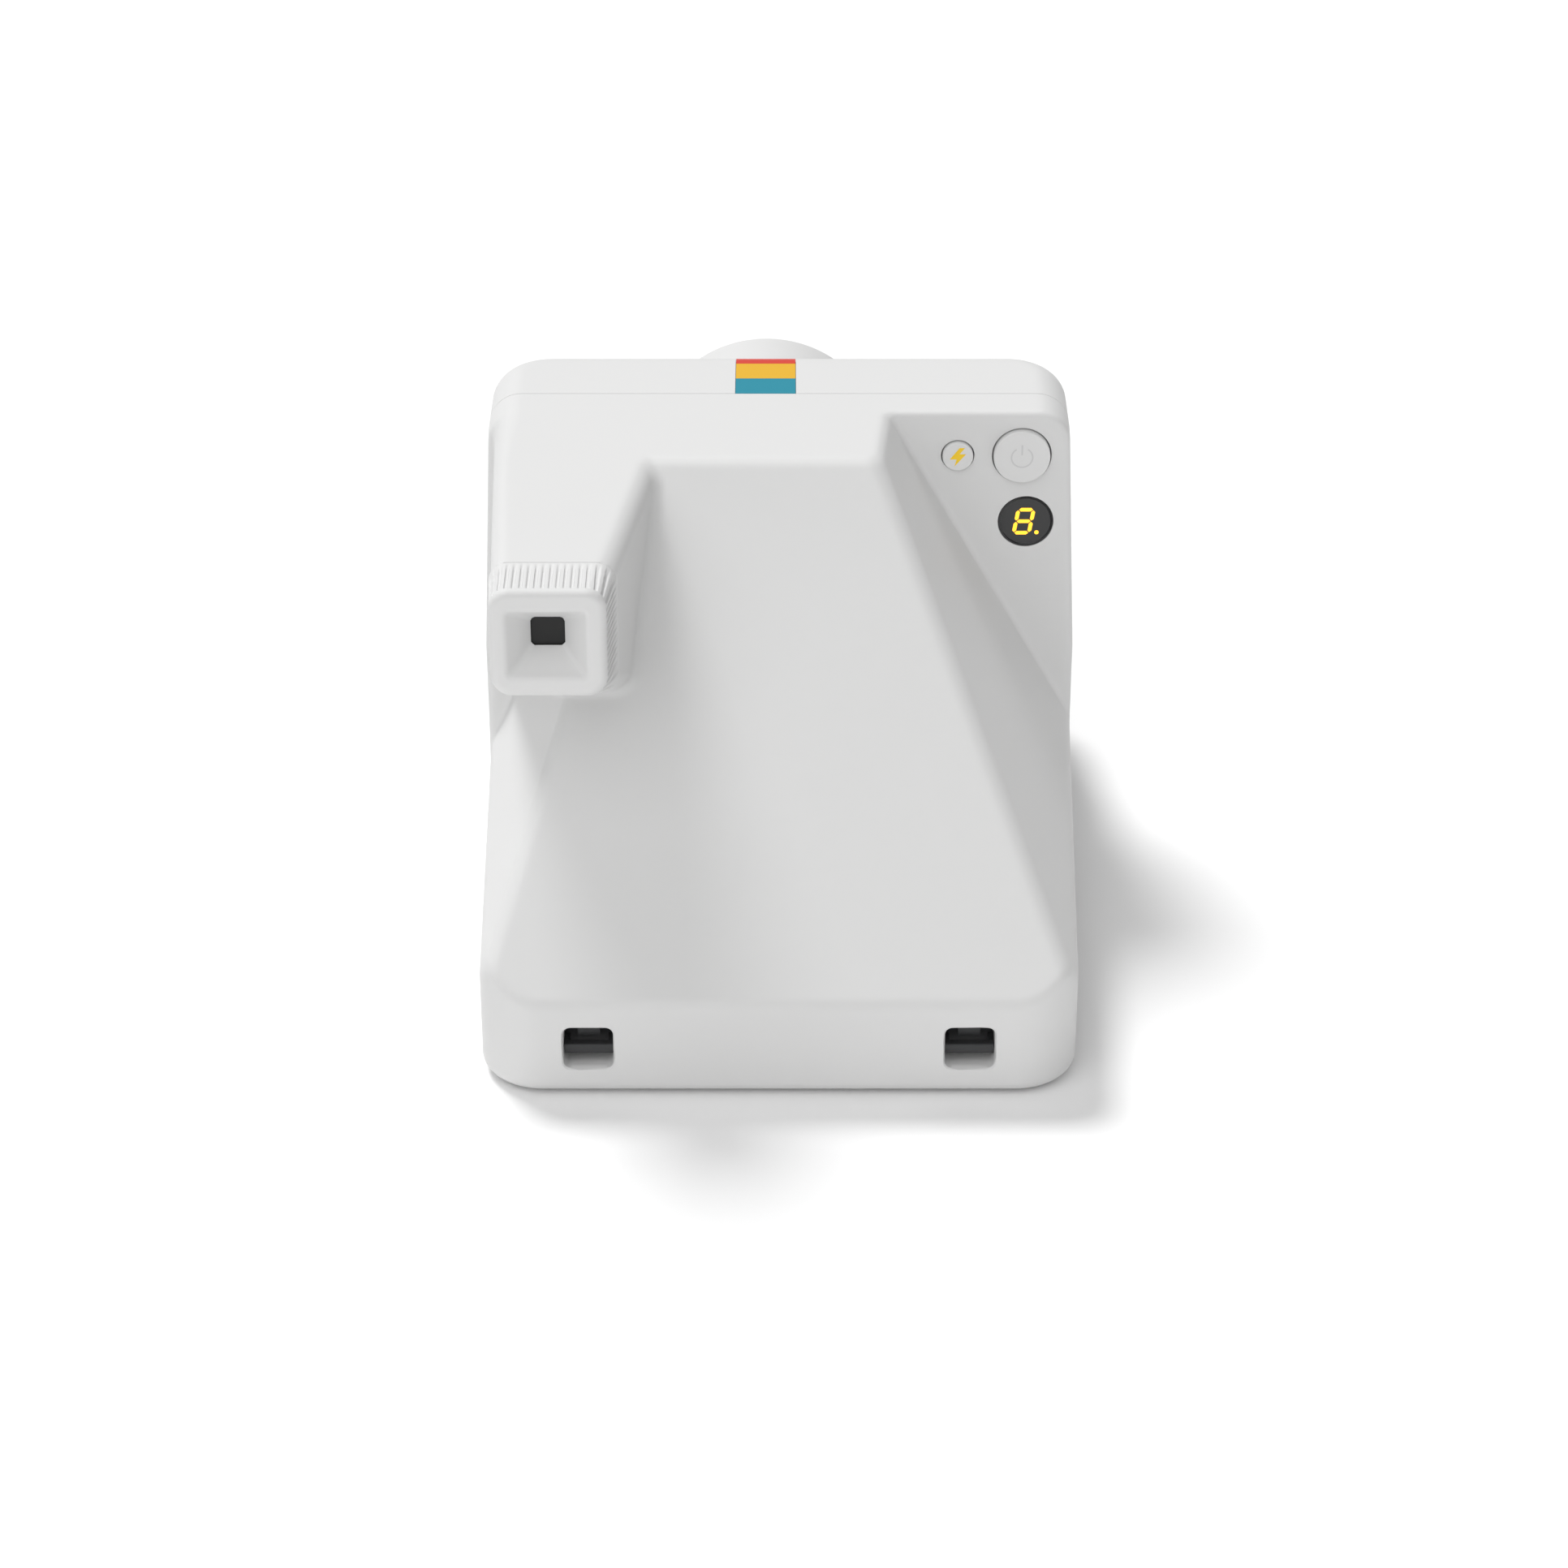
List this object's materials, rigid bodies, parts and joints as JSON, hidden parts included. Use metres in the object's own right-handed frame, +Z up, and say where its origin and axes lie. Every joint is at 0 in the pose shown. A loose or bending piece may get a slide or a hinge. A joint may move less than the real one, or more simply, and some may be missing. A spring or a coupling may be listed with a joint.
{
  "type": "instant camera",
  "caption": "White box-type instant camera with a sloping mirror housing at the back, side finder tube, rear keys and display, drop-down film door and film rollers.",
  "frame": {"origin": "centre of the overall box in plan, on the surface the feet stand on", "axes": "+Z up, the lens faces -Y and the eyepiece faces +Y, +X is towards the finder tube"},
  "size_m": [0.1143, 0.1498, 0.094],
  "materials": {
    "white_shell": "fine satin moulding texture",
    "white_key": "satin",
    "red_key": "satin gloss",
    "black_plastic": "matte black",
    "dark_plastic": "matte dark grey",
    "black_gloss": "polished black",
    "clear_window": "clear",
    "lens_glass": "coated glass",
    "smoked_window": "smoked, polished",
    "steel": "brushed",
    "mirror_glass": "front-silvered",
    "reflector": "bright",
    "rubber": "matte",
    "board": "solder mask",
    "cell": "satin",
    "paper_film": "matte",
    "inlay_band": "satin"
  },
  "bodies": {
    "body": {"front_housing": "white_shell", "rear_housing": "white_shell", "bottom_cover": "white_shell", "hinge_pin_low": "steel", "hinge_pin_high": "steel", "drive_motor": "steel", "film_pack": "black_plastic", "film_stack": "paper_film", "light_chamber": "black_plastic", "mirror": "mirror_glass", "lens_barrel": "white_shell", "lens_bezel": "black_plastic", "front_lens": "lens_glass", "lens_tube": "black_plastic", "shutter_plate": "dark_plastic", "flash_window": "clear_window", "flash_reflector": "reflector", "flash_lamp": "clear_window", "flash_capacitor": "dark_plastic", "finder_window": "smoked_window", "finder_tube": "black_plastic", "eyepiece_cup": "white_shell", "eyepiece_window": "black_gloss", "sensor_window": "smoked_window", "display_window": "black_gloss", "display_module": "dark_plastic", "accent_inlay": "inlay_band", "strap_lug_low": "black_plastic", "strap_lug_high": "black_plastic", "main_board": "board", "battery": "cell", "usb_port": "steel", "foot_1": "rubber", "base_screw_1": "steel", "foot_2": "rubber", "base_screw_2": "steel", "foot_3": "rubber", "base_screw_3": "steel", "foot_4": "rubber", "base_screw_4": "steel"},
    "film_door": {"film_door": "white_shell", "roller_frame": "steel", "film_shield": "black_plastic"},
    "upper_roller": {"roller_upper": "steel", "roller_gear_upper": "white_key"},
    "lower_roller": {"roller_lower": "steel", "roller_gear_lower": "white_key"},
    "idler": {"idler_gear": "white_key"},
    "drive": {"drive_gear": "white_key"},
    "worm": {"motor_worm": "steel"},
    "pick": {"pick_arm": "steel"},
    "blade": {"shutter_blade": "black_plastic"},
    "focus": {"focus_carriage": "dark_plastic", "rear_lens": "lens_glass"},
    "shutter_key": {"shutter_button": "red_key"},
    "timer_key": {"timer_button": "white_key"},
    "power_key": {"power_button": "white_key"},
    "flash_key": {"flash_button": "white_key"},
    "latch": {"door_latch": "white_key"}
  },
  "joints": [
    {"name": "door_hinge", "type": "hinge", "parent": "body", "child": "film_door", "pos_m": [0, -0.047, 0.0032], "axis": [1, 0, 0], "range_deg": [0, 62]},
    {"name": "roller_upper_spin", "type": "hinge", "parent": "film_door", "child": "upper_roller", "pos_m": [0, -0.051, 0.0226], "axis": [1, 0, 0], "continuous": true},
    {"name": "roller_lower_spin", "type": "hinge", "parent": "film_door", "child": "lower_roller", "pos_m": [0, -0.051, 0.0142], "axis": [1, 0, 0], "continuous": true},
    {"name": "idler_spin", "type": "hinge", "parent": "body", "child": "idler", "pos_m": [-0.0485, -0.039, 0.0142], "axis": [1, 0, 0], "continuous": true},
    {"name": "drive_spin", "type": "hinge", "parent": "body", "child": "drive", "pos_m": [-0.0485, -0.02505, 0.0142], "axis": [1, 0, 0], "continuous": true},
    {"name": "worm_spin", "type": "hinge", "parent": "body", "child": "worm", "pos_m": [-0.0485, -0.0236, 0.02245], "axis": [0, 1, 0], "continuous": true},
    {"name": "pick_slide", "type": "slide", "parent": "body", "child": "pick", "axis": [0, -1, 0], "range_m": [0, 0.009], "stiffness_N_per_m": 60, "springref_m": -0.0005},
    {"name": "blade_swing", "type": "hinge", "parent": "body", "child": "blade", "pos_m": [0.0146, -0.0365, 0.063], "axis": [0, 1, 0], "range_deg": [0, 50], "stiffness_Nm_per_rad": 0.0004, "springref_deg": -5.73},
    {"name": "focus_slide", "type": "slide", "parent": "body", "child": "focus", "axis": [0, 1, 0], "range_m": [0, 0.0025]},
    {"name": "shutter_press", "type": "slide", "parent": "body", "child": "shutter_key", "axis": [0, 1, 0], "range_m": [0, 0.0012], "stiffness_N_per_m": 900, "springref_m": -0.0005},
    {"name": "timer_press", "type": "slide", "parent": "body", "child": "timer_key", "axis": [0, 1, 0], "range_m": [0, 0.001], "stiffness_N_per_m": 700, "springref_m": -0.0005},
    {"name": "power_press", "type": "slide", "parent": "body", "child": "power_key", "axis": [0, -1, 0], "range_m": [0, 0.0009], "stiffness_N_per_m": 900, "springref_m": -0.0005},
    {"name": "flash_press", "type": "slide", "parent": "body", "child": "flash_key", "axis": [0, -1, 0], "range_m": [0, 0.0007], "stiffness_N_per_m": 700, "springref_m": -0.0005},
    {"name": "latch_press", "type": "slide", "parent": "body", "child": "latch", "axis": [-1, 0, 0], "range_m": [0, 0.0012], "stiffness_N_per_m": 1200, "springref_m": -0.0005}
  ],
  "couplings": [
    {"joint": "roller_lower_spin", "follows": "roller_upper_spin", "ratio": -1},
    {"joint": "idler_spin", "follows": "roller_upper_spin", "ratio": 0.5},
    {"joint": "drive_spin", "follows": "roller_upper_spin", "ratio": -0.6667},
    {"joint": "worm_spin", "follows": "roller_upper_spin", "ratio": 12}
  ]
}
